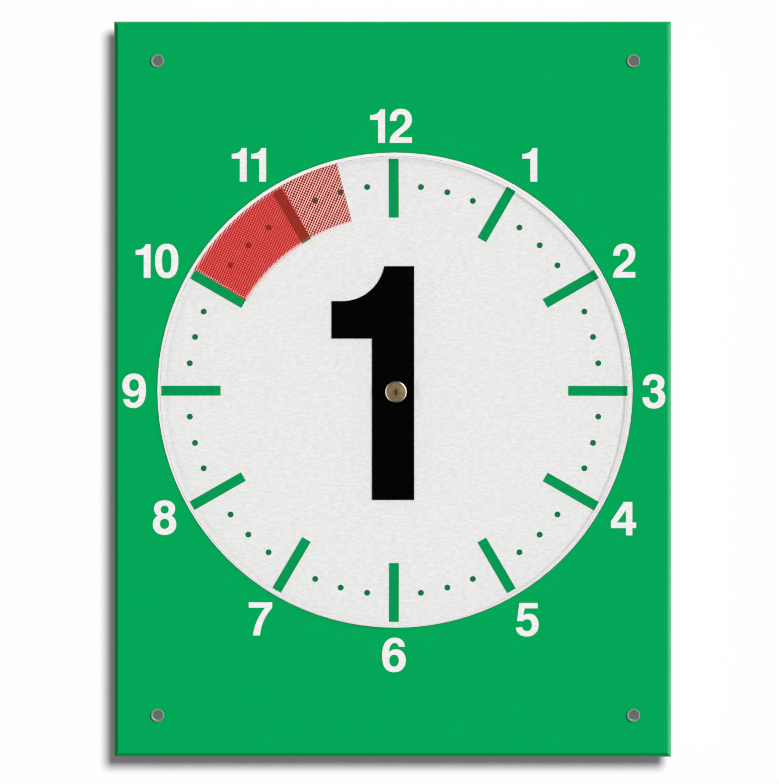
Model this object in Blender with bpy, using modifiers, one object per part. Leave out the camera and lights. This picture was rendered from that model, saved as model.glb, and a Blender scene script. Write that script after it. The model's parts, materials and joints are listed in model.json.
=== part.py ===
"""A court-side match timer board.

A green board carries a clock dial and a court number. In front of the dial turns a clear disc with a red time
mark, which players set by hand to the hour they started at.

Every piece is built lying face up: x to the right, y up the board and z out of the wall, measured from the
centre of the four fixing holes and from the board's rear face. One empty then stands it all upright, so that
the rear face is the plane y = 0, the board faces -Y, and the origin is on the rear face, midway between the
two upper fixing holes.
"""

import math

import bmesh
import bpy

MM = 0.001

# The clearance between pieces that touch
GAP = 0.3 * MM

# The fixing holes, from centre to centre
HOLE_PITCH_ACROSS = 259 * MM
HOLE_PITCH_UP = 356 * MM

# The board
BOARD_WIDTH = 303 * MM
BOARD_HEIGHT = 400 * MM
BOARD_THICKNESS = 5 * MM
BOARD_CENTRE = (-1.5 * MM, -0.5 * MM)
BOARD_BEVEL = 2.2 * MM
BOARD_BEVEL_SEGMENTS = 6
# 0.25 is a flat bevel and 0.5 a quarter round
BOARD_BEVEL_PROFILE = 0.34

# The dial sheet, let into the board's face
DIAL_RADIUS = 129.3 * MM
DIAL_CENTRE = (-0.2 * MM, -1.1 * MM)
DIAL_THICKNESS = 0.5 * MM
DIAL_STEPS = 96

# The court number, a figure 1, with the lower left corner of its stem as its own origin
NUMBER_CORNER = (-12.7 * MM, -60.8 * MM)
NUMBER_HEIGHT = 127.2 * MM
NUMBER_THICKNESS = 0.2 * MM
STEM_WIDTH = 22.9 * MM
FLAG_REACH = 22 * MM
FLAG_BOTTOM = 87.8 * MM
FLAG_TOP = 108.2 * MM
FLAG_ARC_RADIUS = 23.4 * MM
FLAG_ARC_CENTRE_X = -16.3 * MM
FLAG_ARC_STEPS = 14

# The pivot, a little off the dial's centre, as the board's hole is
PIVOT_CENTRE = (0.3 * MM, -2.0 * MM)
SHANK_RADIUS = 3 * MM
PIVOT_HOLE_RADIUS = SHANK_RADIUS + GAP
PIVOT_STEPS = 40
PIVOT_RECESS_RADIUS = 7.6 * MM
HEAD_RADIUS = 6 * MM
HEAD_HEIGHT = 2 * MM
HEAD_DOME_RISE = 0.7 * MM
HEAD_DOME_STEPS = 4
HEAD_EDGE_RADIUS = 0.8 * MM
HEAD_EDGE_STEPS = 4
HEAD_UNDERSIDE_CHAMFER = 0.2 * MM
DIMPLE_RADIUS = 0.9 * MM
DIMPLE_DEPTH = 0.35 * MM
TAIL_RADIUS = 4.2 * MM
TAIL_THICKNESS = 0.4 * MM
TAIL_CHAMFER = 0.15 * MM
TAIL_BORE_RADIUS = 2.2 * MM
TAIL_BORE_DEPTH = 3 * MM
TAIL_BORE_CONE = 0.5 * MM

# The washers on the pivot
FRONT_WASHER_RADIUS = 5.5 * MM
FRONT_WASHER_THICKNESS = 0.5 * MM
SPACER_RADIUS = 5 * MM
SPACER_THICKNESS = 1.5 * MM
REAR_WASHER_RADIUS = 7 * MM
REAR_WASHER_THICKNESS = 0.6 * MM
SPRING_RADIUS = 6 * MM
SPRING_THICKNESS = 0.2 * MM
SPRING_HEIGHT = 0.45 * MM
SPRING_WAVES = 3

# The clear disc
DISC_RADIUS = 128.4 * MM
DISC_THICKNESS = 1 * MM
DISC_STEPS = 96
DISC_CHAMFER = 0.2 * MM

# The red time mark, two films on the disc's front, in degrees clockwise from the top of the dial
FILM_INNER_RADIUS = 96.8 * MM
FILM_OUTER_RADIUS = 128 * MM
FILM_THICKNESS = 0.2 * MM
HOUR_START = -59.0
HOUR_END = -29.0
HALF_HOUR_END = -14.5
FILM_SEAM = 0.1
DEGREES_PER_FILM_STEP = 2.0

# The eyelets and their washers
EYELET_BORE_RADIUS = 2.5 * MM
EYELET_BARREL_RADIUS = 2.85 * MM
EYELET_FLANGE_RADIUS = 3.62 * MM
EYELET_FLANGE_THICKNESS = 0.6 * MM
EYELET_ROUNDING = 0.3 * MM
EYELET_ROUNDING_STEPS = 3
EYELET_MOUTH = 0.2 * MM
EYELET_FLARE_RADIUS = 3.9 * MM
EYELET_FLARE_THICKNESS = 0.4 * MM
EYELET_FLARE_CHAMFER = 0.15 * MM
EYELET_STEPS = 24
EYELET_HOLE_RADIUS = EYELET_BARREL_RADIUS + GAP
EYELET_WASHER_RADIUS = 5 * MM
EYELET_WASHER_THICKNESS = 0.5 * MM
EYELET_RECESS_RADIUS = EYELET_WASHER_RADIUS + GAP

# Heights out of the wall. What is set behind the board stays this far inside its rear face.
REAR_INSET = 0.2 * MM
TAIL_TOP = REAR_INSET + TAIL_THICKNESS
REAR_WASHER_BACK = TAIL_TOP + GAP
REAR_WASHER_FRONT = REAR_WASHER_BACK + REAR_WASHER_THICKNESS
SPRING_BACK = REAR_WASHER_FRONT + GAP
PIVOT_RECESS_DEPTH = SPRING_BACK + SPRING_HEIGHT + GAP
EYELET_WASHER_BACK = REAR_INSET + EYELET_FLARE_THICKNESS + GAP
EYELET_WASHER_FRONT = EYELET_WASHER_BACK + EYELET_WASHER_THICKNESS
EYELET_RECESS_DEPTH = EYELET_WASHER_FRONT + GAP
DIAL_BACK = BOARD_THICKNESS - DIAL_THICKNESS
DIAL_RECESS_FLOOR = DIAL_BACK - GAP
FACE_REST = BOARD_THICKNESS + GAP
DISC_BACK = FACE_REST + SPACER_THICKNESS + GAP
DISC_FRONT = DISC_BACK + DISC_THICKNESS
FILM_BACK = DISC_FRONT + GAP
FRONT_WASHER_BACK = DISC_FRONT + GAP
HEAD_UNDERSIDE = FRONT_WASHER_BACK + FRONT_WASHER_THICKNESS + GAP
HEAD_TOP = HEAD_UNDERSIDE + HEAD_HEIGHT

# How far a cutter runs past the face that it opens
CUT_PAST = 1 * MM

SHARP_ANGLE = math.radians(35)

CORNERS = {
    "top_left": (-1, 1),
    "top_right": (1, 1),
    "bottom_left": (-1, -1),
    "bottom_right": (1, -1),
}


def clear_scene():
    for item in list(bpy.data.objects):
        bpy.data.objects.remove(item, do_unlink=True)


def new_collection(name):
    made = bpy.data.collections.new(name)
    bpy.context.scene.collection.children.link(made)
    return made


def linear(level):
    """A colour level from 0 to 255, as a display shows it, in linear light."""
    share = level / 255
    if share <= 0.04045:
        return share / 12.92
    return ((share + 0.055) / 1.055) ** 2.4


def new_material(name, colour, roughness, metallic=0.0, alpha=1.0):
    made = bpy.data.materials.new(name)
    made.use_nodes = True
    rgb = [linear(level) for level in colour]
    shader = made.node_tree.nodes["Principled BSDF"]
    shader.inputs["Base Color"].default_value = (*rgb, 1.0)
    shader.inputs["Roughness"].default_value = roughness
    shader.inputs["Metallic"].default_value = metallic
    shader.inputs["Alpha"].default_value = alpha
    made.diffuse_color = (*rgb, alpha)
    return made


def new_empty(name, parent, location):
    made = bpy.data.objects.new(name, None)
    made.empty_display_size = 0.02
    made.parent = parent
    made.location = location
    parts.objects.link(made)
    return made


def place(piece, parent, centre, height=0.0, collection=None):
    """Hang the piece on its parent at a point of the face and a height out of the wall."""
    piece.parent = parent
    piece.location = (centre[0], centre[1], height)
    (collection or parts).objects.link(piece)


def settle(piece):
    """Give the piece the mesh that its modifiers make, shaded smooth between its sharp edges."""
    bpy.context.view_layer.update()
    graph = bpy.context.evaluated_depsgraph_get()
    mesh = bpy.data.meshes.new_from_object(piece.evaluated_get(graph))
    piece.modifiers.clear()
    piece.data = mesh
    mesh.name = piece.name
    mesh.shade_smooth()
    mesh.set_sharp_from_angle(angle=SHARP_ANGLE)


def turned(name, profile, steps, surface, parent, centre, ring=False, collection=None):
    """A solid turned about z. Its (radius, height) points run down the outer side, and round for a ring."""
    mesh = bpy.data.meshes.new(name)
    points = [(radius, 0.0, height) for radius, height in profile]
    edges = [(index, index + 1) for index in range(len(points) - 1)]
    if ring:
        edges.append((len(points) - 1, 0))
    mesh.from_pydata(points, edges, [])
    piece = bpy.data.objects.new(name, mesh)
    turn = piece.modifiers.new("turn", "SCREW")
    turn.axis = "Z"
    turn.angle = math.tau
    turn.steps = steps
    turn.render_steps = steps
    turn.use_merge_vertices = True
    turn.merge_threshold = 0.00001
    place(piece, parent, centre, collection=collection)
    settle(piece)
    if surface:
        piece.data.materials.append(surface)
    return piece


def ring_profile(inner, outer, back, front):
    return [(outer, front), (outer, back), (inner, back), (inner, front)]


def arc(centre, radius, start, end, steps):
    """Points on an arc from one angle to another, in degrees anticlockwise from the right."""
    points = []
    for step in range(steps + 1):
        angle = math.radians(start + (end - start) * step / steps)
        points.append((centre[0] + radius * math.cos(angle), centre[1] + radius * math.sin(angle)))
    return points


def circle(centre, radius, steps):
    return arc(centre, radius, 0.0, 360.0, steps)[:-1]


def flat_piece(name, outlines, back, front, surface, parent):
    """A flat piece cut along closed outlines, of which the first is its edge and any other is a hole."""
    curve = bpy.data.curves.new(name, "CURVE")
    curve.dimensions = "2D"
    curve.fill_mode = "BOTH"
    curve.extrude = (front - back) / 2
    for outline in outlines:
        spline = curve.splines.new("POLY")
        spline.points.add(len(outline) - 1)
        for point, (x, y) in zip(spline.points, outline):
            point.co = (x, y, 0.0, 1.0)
        spline.use_cyclic_u = True
    curve.materials.append(surface)
    piece = bpy.data.objects.new(name, curve)
    place(piece, parent, (0.0, 0.0), (front + back) / 2)
    return piece


def corner_point(corner):
    side, rise = CORNERS[corner]
    return (side * HOLE_PITCH_ACROSS / 2, rise * HOLE_PITCH_UP / 2)


def new_cutter(name, profile, steps, centre):
    cutter = turned(name, profile, steps, None, face, centre, collection=cutters)
    cutter.hide_render = True
    cutter.display_type = "WIRE"
    return cutter


def stepped_hole(radius, recess_radius, recess_depth):
    """The profile that cuts a hole through the board with a wider recess behind it."""
    over = BOARD_THICKNESS + CUT_PAST
    return [
        (0.0, over),
        (radius, over),
        (radius, recess_depth),
        (recess_radius, recess_depth),
        (recess_radius, -CUT_PAST),
        (0.0, -CUT_PAST),
    ]


def board_cutters():
    over = BOARD_THICKNESS + CUT_PAST
    recess_radius = DIAL_RADIUS + GAP
    dial_recess = [
        (0.0, over),
        (recess_radius, over),
        (recess_radius, DIAL_RECESS_FLOOR),
        (0.0, DIAL_RECESS_FLOOR),
    ]
    pivot_hole = stepped_hole(PIVOT_HOLE_RADIUS, PIVOT_RECESS_RADIUS, PIVOT_RECESS_DEPTH)
    eyelet_hole = stepped_hole(EYELET_HOLE_RADIUS, EYELET_RECESS_RADIUS, EYELET_RECESS_DEPTH)
    made = [
        new_cutter("cut_dial_recess", dial_recess, DIAL_STEPS, DIAL_CENTRE),
        new_cutter("cut_pivot_hole", pivot_hole, PIVOT_STEPS, PIVOT_CENTRE),
    ]
    for corner in CORNERS:
        made.append(new_cutter(f"cut_{corner}", eyelet_hole, EYELET_STEPS, corner_point(corner)))
    return made


def base_board(surface):
    """A slab with a bevelled front edge, the dial's recess, the pivot's hole and four fixing holes."""
    bm = bmesh.new()
    bmesh.ops.create_cube(bm, size=1.0)
    bmesh.ops.scale(bm, vec=(BOARD_WIDTH, BOARD_HEIGHT, BOARD_THICKNESS), verts=bm.verts)
    bmesh.ops.translate(bm, vec=(0.0, 0.0, BOARD_THICKNESS / 2), verts=bm.verts)
    middle = BOARD_THICKNESS / 2
    front_edges = [edge for edge in bm.edges if all(vert.co.z > middle for vert in edge.verts)]
    bmesh.ops.bevel(
        bm,
        geom=front_edges,
        offset=BOARD_BEVEL,
        segments=BOARD_BEVEL_SEGMENTS,
        profile=BOARD_BEVEL_PROFILE,
        affect="EDGES",
    )
    mesh = bpy.data.meshes.new("base_board")
    bm.to_mesh(mesh)
    bm.free()
    board = bpy.data.objects.new("base_board", mesh)
    board.data.materials.append(surface)
    place(board, face, BOARD_CENTRE)
    for cutter in board_cutters():
        cut = board.modifiers.new(cutter.name, "BOOLEAN")
        cut.operation = "DIFFERENCE"
        cut.solver = "EXACT"
        cut.object = cutter
    settle(board)
    return board


def dial_sheet(surface):
    edge = circle(DIAL_CENTRE, DIAL_RADIUS, DIAL_STEPS)
    hole = circle(PIVOT_CENTRE, PIVOT_HOLE_RADIUS, PIVOT_STEPS)
    return flat_piece("dial_sheet", [edge, hole], DIAL_BACK, BOARD_THICKNESS, surface, face)


def court_number(surface):
    """The figure 1, cut out round the pivot's spacer."""
    left, foot = NUMBER_CORNER
    arc_centre = (left + FLAG_ARC_CENTRE_X, foot + FLAG_TOP + FLAG_ARC_RADIUS)
    arc_end = -math.degrees(math.asin((FLAG_TOP + FLAG_ARC_RADIUS - NUMBER_HEIGHT) / FLAG_ARC_RADIUS))
    outline = [
        (left + STEM_WIDTH, foot + NUMBER_HEIGHT),
        (left + STEM_WIDTH, foot),
        (left, foot),
        (left, foot + FLAG_BOTTOM),
        (left - FLAG_REACH, foot + FLAG_BOTTOM),
        (left - FLAG_REACH, foot + FLAG_TOP),
    ]
    outline += arc(arc_centre, FLAG_ARC_RADIUS, -90.0, arc_end, FLAG_ARC_STEPS)
    hole = circle(PIVOT_CENTRE, SPACER_RADIUS + GAP, PIVOT_STEPS)
    front = FACE_REST + NUMBER_THICKNESS
    return flat_piece("court_number", [outline, hole], FACE_REST, front, surface, face)


def time_disc(surface):
    profile = [
        (DISC_RADIUS - DISC_CHAMFER, DISC_FRONT),
        (DISC_RADIUS, DISC_FRONT - DISC_CHAMFER),
        (DISC_RADIUS, DISC_BACK + DISC_CHAMFER),
        (DISC_RADIUS - DISC_CHAMFER, DISC_BACK),
        (PIVOT_HOLE_RADIUS, DISC_BACK),
        (PIVOT_HOLE_RADIUS, DISC_FRONT),
    ]
    return turned("time_disc", profile, DISC_STEPS, surface, pivot, (0.0, 0.0), ring=True)


def time_film(name, start, end, surface):
    """One sector of the time mark, from one clock angle to another."""
    steps = round((end - start) / DEGREES_PER_FILM_STEP)
    outer = arc((0.0, 0.0), FILM_OUTER_RADIUS, 90.0 - start, 90.0 - end, steps)
    inner = arc((0.0, 0.0), FILM_INNER_RADIUS, 90.0 - end, 90.0 - start, steps)
    return flat_piece(name, [outer + inner], FILM_BACK, FILM_BACK + FILM_THICKNESS, surface, pivot)


def pivot_rivet(surface):
    """The rivet, from the dimple in its domed head down to the hollow end of its rolled tail."""
    dome_radius = HEAD_RADIUS - HEAD_EDGE_RADIUS
    edge_top = HEAD_TOP - HEAD_DOME_RISE
    profile = [(0.0, HEAD_TOP - DIMPLE_DEPTH), (DIMPLE_RADIUS / 2, HEAD_TOP - DIMPLE_DEPTH)]
    for step in range(HEAD_DOME_STEPS):
        radius = DIMPLE_RADIUS + (dome_radius - DIMPLE_RADIUS) * step / HEAD_DOME_STEPS
        profile.append((radius, HEAD_TOP - HEAD_DOME_RISE * (radius / dome_radius) ** 2))
    edge_centre = (dome_radius, edge_top - HEAD_EDGE_RADIUS)
    profile += arc(edge_centre, HEAD_EDGE_RADIUS, 90.0, 0.0, HEAD_EDGE_STEPS)
    profile += [
        (HEAD_RADIUS, HEAD_UNDERSIDE + HEAD_UNDERSIDE_CHAMFER),
        (HEAD_RADIUS - HEAD_UNDERSIDE_CHAMFER, HEAD_UNDERSIDE),
        (SHANK_RADIUS, HEAD_UNDERSIDE),
        (SHANK_RADIUS, TAIL_TOP),
        (TAIL_RADIUS, TAIL_TOP),
        (TAIL_RADIUS, REAR_INSET + TAIL_CHAMFER),
        (TAIL_RADIUS - TAIL_CHAMFER, REAR_INSET),
        (TAIL_BORE_RADIUS, REAR_INSET),
        (TAIL_BORE_RADIUS, REAR_INSET + TAIL_BORE_DEPTH),
        (0.0, REAR_INSET + TAIL_BORE_DEPTH + TAIL_BORE_CONE),
    ]
    return turned("pivot_rivet", profile, PIVOT_STEPS, surface, pivot, (0.0, 0.0))


def pivot_ring(name, outer, back, thickness, surface):
    """A washer on the rivet's shank."""
    profile = ring_profile(PIVOT_HOLE_RADIUS, outer, back, back + thickness)
    return turned(name, profile, PIVOT_STEPS, surface, pivot, (0.0, 0.0), ring=True)


def spring_washer(surface):
    """A thin washer bent into waves, which presses the washer behind it away from the board."""
    middle = SPRING_BACK + SPRING_HEIGHT / 2
    back = middle - SPRING_THICKNESS / 2
    washer = pivot_ring("spring_washer", SPRING_RADIUS, back, SPRING_THICKNESS, surface)
    lift = (SPRING_HEIGHT - SPRING_THICKNESS) / 2
    for vert in washer.data.vertices:
        vert.co.z += lift * math.cos(SPRING_WAVES * math.atan2(vert.co.y, vert.co.x))
    return washer


def eyelet(corner, surface):
    """A flanged eyelet, whose barrel lines the fixing hole and is flared over its washer."""
    flange_front = FACE_REST + EYELET_FLANGE_THICKNESS
    rounding_centre = (EYELET_FLANGE_RADIUS - EYELET_ROUNDING, flange_front - EYELET_ROUNDING)
    flare_front = REAR_INSET + EYELET_FLARE_THICKNESS
    profile = arc(rounding_centre, EYELET_ROUNDING, 90.0, 0.0, EYELET_ROUNDING_STEPS)
    profile += [
        (EYELET_FLANGE_RADIUS, FACE_REST),
        (EYELET_BARREL_RADIUS, FACE_REST),
        (EYELET_BARREL_RADIUS, flare_front),
        (EYELET_FLARE_RADIUS, flare_front),
        (EYELET_FLARE_RADIUS, REAR_INSET + EYELET_FLARE_CHAMFER),
        (EYELET_FLARE_RADIUS - EYELET_FLARE_CHAMFER, REAR_INSET),
        (EYELET_BORE_RADIUS + EYELET_MOUTH, REAR_INSET),
        (EYELET_BORE_RADIUS, REAR_INSET + EYELET_MOUTH),
        (EYELET_BORE_RADIUS, flange_front - EYELET_MOUTH),
        (EYELET_BORE_RADIUS + EYELET_MOUTH, flange_front),
    ]
    name = f"eyelet_{corner}"
    return turned(name, profile, EYELET_STEPS, surface, face, corner_point(corner), ring=True)


def eyelet_washer(corner, surface):
    profile = ring_profile(EYELET_HOLE_RADIUS, EYELET_WASHER_RADIUS, EYELET_WASHER_BACK, EYELET_WASHER_FRONT)
    name = f"eyelet_washer_{corner}"
    return turned(name, profile, EYELET_STEPS, surface, face, corner_point(corner), ring=True)


clear_scene()
parts = new_collection("match_timer")
cutters = new_collection("cutters")

green_board = new_material("green_board", (2, 168, 88), 0.45)
white_print = new_material("white_print", (236, 236, 236), 0.55)
black_vinyl = new_material("black_vinyl", (6, 6, 6), 0.5)
clear_plastic = new_material("clear_plastic", (240, 242, 242), 0.08, alpha=0.2)
dense_red_film = new_material("dense_red_film", (215, 45, 45), 0.4, alpha=0.85)
light_red_film = new_material("light_red_film", (225, 110, 110), 0.4, alpha=0.7)
brass = new_material("brass", (150, 125, 88), 0.3, metallic=1.0)
white_nylon = new_material("white_nylon", (225, 222, 212), 0.5)
steel = new_material("steel", (150, 150, 148), 0.35, metallic=1.0)
eyelet_metal = new_material("eyelet_metal", (150, 158, 154), 0.4, metallic=1.0)

# The rear face stands upright through the origin, below the line through the upper fixing holes.
face = new_empty("face", None, (0.0, 0.0, -HOLE_PITCH_UP / 2))
face.rotation_euler = (math.radians(90), 0.0, 0.0)
pivot = new_empty("pivot", face, (*PIVOT_CENTRE, 0.0))

base_board(green_board)
dial_sheet(white_print)
court_number(black_vinyl)
time_disc(clear_plastic)
time_film("hour_film", HOUR_START, HOUR_END, dense_red_film)
time_film("half_hour_film", HOUR_END + FILM_SEAM, HALF_HOUR_END, light_red_film)
pivot_rivet(brass)
pivot_ring("front_washer", FRONT_WASHER_RADIUS, FRONT_WASHER_BACK, FRONT_WASHER_THICKNESS, white_nylon)
pivot_ring("disc_spacer", SPACER_RADIUS, FACE_REST, SPACER_THICKNESS, white_nylon)
pivot_ring("rear_washer", REAR_WASHER_RADIUS, REAR_WASHER_BACK, REAR_WASHER_THICKNESS, steel)
spring_washer(steel)
for corner in CORNERS:
    eyelet(corner, eyelet_metal)
    eyelet_washer(corner, eyelet_metal)
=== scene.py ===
"""The looks of a court-side match timer board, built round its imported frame.

The board faces -Y. Flat prints, films and turned metal pieces are drawn lying face up, with x to the right,
y up the board and z out of the wall, and each is stood up as the board is.
"""

import json
import math

import bmesh
import bpy
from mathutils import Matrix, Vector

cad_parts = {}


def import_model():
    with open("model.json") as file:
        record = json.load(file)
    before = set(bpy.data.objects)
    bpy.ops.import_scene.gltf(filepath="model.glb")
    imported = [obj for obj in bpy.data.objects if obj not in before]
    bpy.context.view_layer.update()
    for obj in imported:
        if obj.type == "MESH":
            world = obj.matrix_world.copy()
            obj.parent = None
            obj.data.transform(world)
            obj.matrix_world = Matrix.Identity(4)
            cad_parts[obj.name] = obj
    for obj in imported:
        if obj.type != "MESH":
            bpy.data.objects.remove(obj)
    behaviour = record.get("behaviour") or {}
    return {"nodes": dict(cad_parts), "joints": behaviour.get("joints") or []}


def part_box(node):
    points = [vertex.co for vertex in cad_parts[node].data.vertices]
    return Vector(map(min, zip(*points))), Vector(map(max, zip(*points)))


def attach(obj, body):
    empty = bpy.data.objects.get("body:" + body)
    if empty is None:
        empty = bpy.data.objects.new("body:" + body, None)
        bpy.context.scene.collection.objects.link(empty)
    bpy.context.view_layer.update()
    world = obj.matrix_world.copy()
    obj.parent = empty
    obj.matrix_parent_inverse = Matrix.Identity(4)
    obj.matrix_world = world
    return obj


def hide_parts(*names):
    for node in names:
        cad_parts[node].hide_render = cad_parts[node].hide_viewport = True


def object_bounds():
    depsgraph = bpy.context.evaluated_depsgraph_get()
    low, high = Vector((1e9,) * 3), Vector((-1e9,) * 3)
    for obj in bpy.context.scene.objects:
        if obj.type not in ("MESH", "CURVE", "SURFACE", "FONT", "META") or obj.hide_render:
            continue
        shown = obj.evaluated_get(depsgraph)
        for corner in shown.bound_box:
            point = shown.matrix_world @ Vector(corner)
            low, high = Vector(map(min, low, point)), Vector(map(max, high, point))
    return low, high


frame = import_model()
cad_low, cad_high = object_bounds()

MM = 0.001
UPRIGHT = (math.radians(90), 0.0, 0.0)
WHITE = (1.0, 1.0, 1.0, 1.0)

# The photograph's frame, and the board in it
IMAGE_WIDTH = 779
IMAGE_HEIGHT = 784
PIXEL = 0.544 * MM
HOLES_CENTRE_PIXEL = (395.4, 388.2)
HOLES_CENTRE_HEIGHT = -178 * MM
LENS = 600
SENSOR = 36
PIXEL_FILTER = 1.1

# Places taken from the frame, as heights out of the wall and points on the board's face. The dial sheet's
# front is level with the board's.
BOARD_FACE = -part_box("dial_sheet")[0].y
DISC_FRONT = -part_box("time_disc")[0].y
HINGE = frame["joints"][0]["pos_m"]
PIVOT = (HINGE[0], HINGE[2])


def centre_of(node):
    low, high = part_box(node)
    return ((low.x + high.x) / 2, (low.z + high.z) / 2)


def radius_of(node):
    low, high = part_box(node)
    return (high.x - low.x) / 2


# Digits as outlines in hundredths of their height. A pair is the end of a straight line, and six numbers
# are a curve's two handles and its end.
ONE = [
    [
        (44.5, 0), (24, 0), (24, 68.4), (0, 68.4), (0, 82.5),
        (14, 83, 27, 87, 29.5, 100),
        (44.5, 100),
    ],
]
TWO = [
    [
        (0, 0), (66.5, 0), (66.5, 16.8), (26.5, 16.8),
        (30, 24, 38, 29, 46, 35.5),
        (58, 44, 66.5, 54, 66.5, 70),
        (66.5, 89, 53, 101.4, 33.8, 101.4),
        (12.5, 101.4, 0.8, 87, 0.8, 65.4),
        (20.3, 65.4),
        (20.3, 78, 25, 85, 33.8, 85),
        (42.5, 85, 47.2, 79, 47.2, 70),
        (47.2, 58, 38, 50, 27, 41.5),
        (11, 29.5, 0, 19, 0, 0),
    ],
]
THREE = [
    [
        (1.4, 68.4),
        (1.6, 89, 13, 101.4, 33, 101.4),
        (52, 101.4, 65.4, 91.5, 65.4, 76),
        (65.4, 65, 61, 58, 53.5, 54.5),
        (63, 51, 68, 42, 68, 30),
        (68, 11, 54, -1.4, 33.5, -1.4),
        (13, -1.4, 0.5, 11, 0.3, 32.4),
        (19.7, 32.4),
        (20.2, 22, 25, 15.5, 33, 15.5),
        (42, 15.5, 47.5, 21.5, 47.5, 30.5),
        (47.5, 41, 41, 45.4, 31, 45.4),
        (24.9, 45.4), (24.9, 59.5), (30, 59.5),
        (40, 59.5, 45.3, 64, 45.3, 73),
        (45.3, 81, 40.5, 85.3, 33, 85.3),
        (25, 85.3, 20.5, 79, 19.9, 68.4),
    ],
]
FOUR = [
    [
        (44.9, 0), (44.9, 21.6), (0, 21.6), (0, 41.4), (38.6, 99.5), (63.8, 99.5), (63.8, 38.1),
        (75.1, 38.1), (75.1, 21.6), (63.8, 21.6), (63.8, 0),
    ],
    [(44.9, 38.1), (17.8, 38.1), (44.9, 75.1)],
]
FIVE = [
    [
        (10.8, 98.4), (65.1, 98.4), (65.1, 82.5), (26.3, 82.5), (22.3, 61),
        (27, 65, 32, 66.8, 39, 66.8),
        (56, 66.8, 67.8, 54, 67.8, 34),
        (67.8, 12.5, 53.5, -1.4, 34, -1.4),
        (14.5, -1.4, 1.5, 8, 0, 25),
        (19.2, 26.8),
        (20.5, 19, 25.5, 14.8, 33.5, 14.8),
        (42, 14.8, 47.6, 21.5, 47.6, 32.5),
        (47.6, 43.5, 42.5, 50, 34.5, 50),
        (28, 50, 24, 47.8, 21, 44),
        (3.5, 44.8),
    ],
]
SIX = [
    [
        (67.8, 74.5),
        (66, 92, 54.5, 101.4, 37.5, 101.4),
        (13, 101.4, 0, 82, 0, 48),
        (0, 15, 12, -1.4, 35.5, -1.4),
        (57, -1.4, 70.3, 13, 70.3, 34),
        (70.3, 54, 58.5, 67, 41, 67),
        (32.5, 67, 25.5, 63.5, 21, 57.5),
        (21.3, 76, 27, 85.5, 37.5, 85.5),
        (44, 85.5, 48, 82, 49.2, 74.5),
    ],
    [
        (49.7, 33),
        (49.7, 44, 44, 50.6, 35.5, 50.6),
        (27, 50.6, 21.3, 44, 21.3, 33),
        (21.3, 22, 27, 15.4, 35.5, 15.4),
        (44, 15.4, 49.7, 22, 49.7, 33),
    ],
]
SEVEN = [
    [
        (0, 98.9), (69.7, 98.9), (69.7, 82.2),
        (50, 62, 36, 32, 33.2, 0),
        (12.7, 0),
        (15.5, 31, 30, 60, 48.6, 82.7),
        (0, 82.7),
    ],
]
EIGHT = [
    [
        (35, 101.4),
        (53.5, 101.4, 66.2, 92, 66.2, 77),
        (66.2, 66.5, 62, 59.5, 54.5, 55.3),
        (64, 51, 69.7, 42, 69.7, 29.5),
        (69.7, 11, 56, -1.4, 35, -1.4),
        (14, -1.4, 0, 11, 0, 29.5),
        (0, 42, 5.8, 51, 15.5, 55.3),
        (8, 59.5, 3.6, 66.5, 3.6, 77),
        (3.6, 92, 16.5, 101.4, 35, 101.4),
    ],
    [
        (47.2, 73.8),
        (47.2, 81, 42.3, 85.7, 35.2, 85.7),
        (28.1, 85.7, 23.4, 81, 23.4, 73.8),
        (23.4, 66.7, 28.1, 61.9, 35.2, 61.9),
        (42.3, 61.9, 47.2, 66.7, 47.2, 73.8),
    ],
    [
        (48.8, 31.8),
        (48.8, 40.7, 43.4, 46.5, 35, 46.5),
        (26.6, 46.5, 21.2, 40.7, 21.2, 31.8),
        (21.2, 22.9, 26.6, 16.4, 35, 16.4),
        (43.4, 16.4, 48.8, 22.9, 48.8, 31.8),
    ],
]
ZERO = [
    [
        (34.6, 101.4),
        (58, 101.4, 69.2, 83, 69.2, 50),
        (69.2, 17, 58, -1.4, 34.6, -1.4),
        (11.2, -1.4, 0, 17, 0, 50),
        (0, 83, 11.2, 101.4, 34.6, 101.4),
    ],
    [
        (34.6, 85),
        (44, 85, 48.6, 76, 48.6, 50),
        (48.6, 24, 44, 15.4, 34.6, 15.4),
        (25.2, 15.4, 20.6, 24, 20.6, 50),
        (20.6, 76, 25.2, 85, 34.6, 85),
    ],
]


def turned_round(outlines, width, height):
    """The outlines turned half a turn, as a 9 is a 6."""
    made = []
    for outline in outlines:
        steps = []
        for step in outline:
            sizes = (width, height) * (len(step) // 2)
            steps.append(tuple(size - value for size, value in zip(sizes, step)))
        made.append(steps)
    return made


NINE = turned_round(SIX, 70.3, 100)
DIGITS = {
    "0": ZERO, "1": ONE, "2": TWO, "3": THREE, "4": FOUR,
    "5": FIVE, "6": SIX, "7": SEVEN, "8": EIGHT, "9": NINE,
}


def linear(level):
    """A colour level from 0 to 255, as a display shows it, in linear light."""
    share = level / 255
    if share <= 0.04045:
        return share / 12.92
    return ((share + 0.055) / 1.055) ** 2.4


def colour(red, green, blue):
    return (linear(red), linear(green), linear(blue), 1.0)


def shade(base, factor):
    """The colour made lighter or darker by a factor."""
    return (*(min(1.0, channel * factor) for channel in base[:3]), 1.0)


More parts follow.
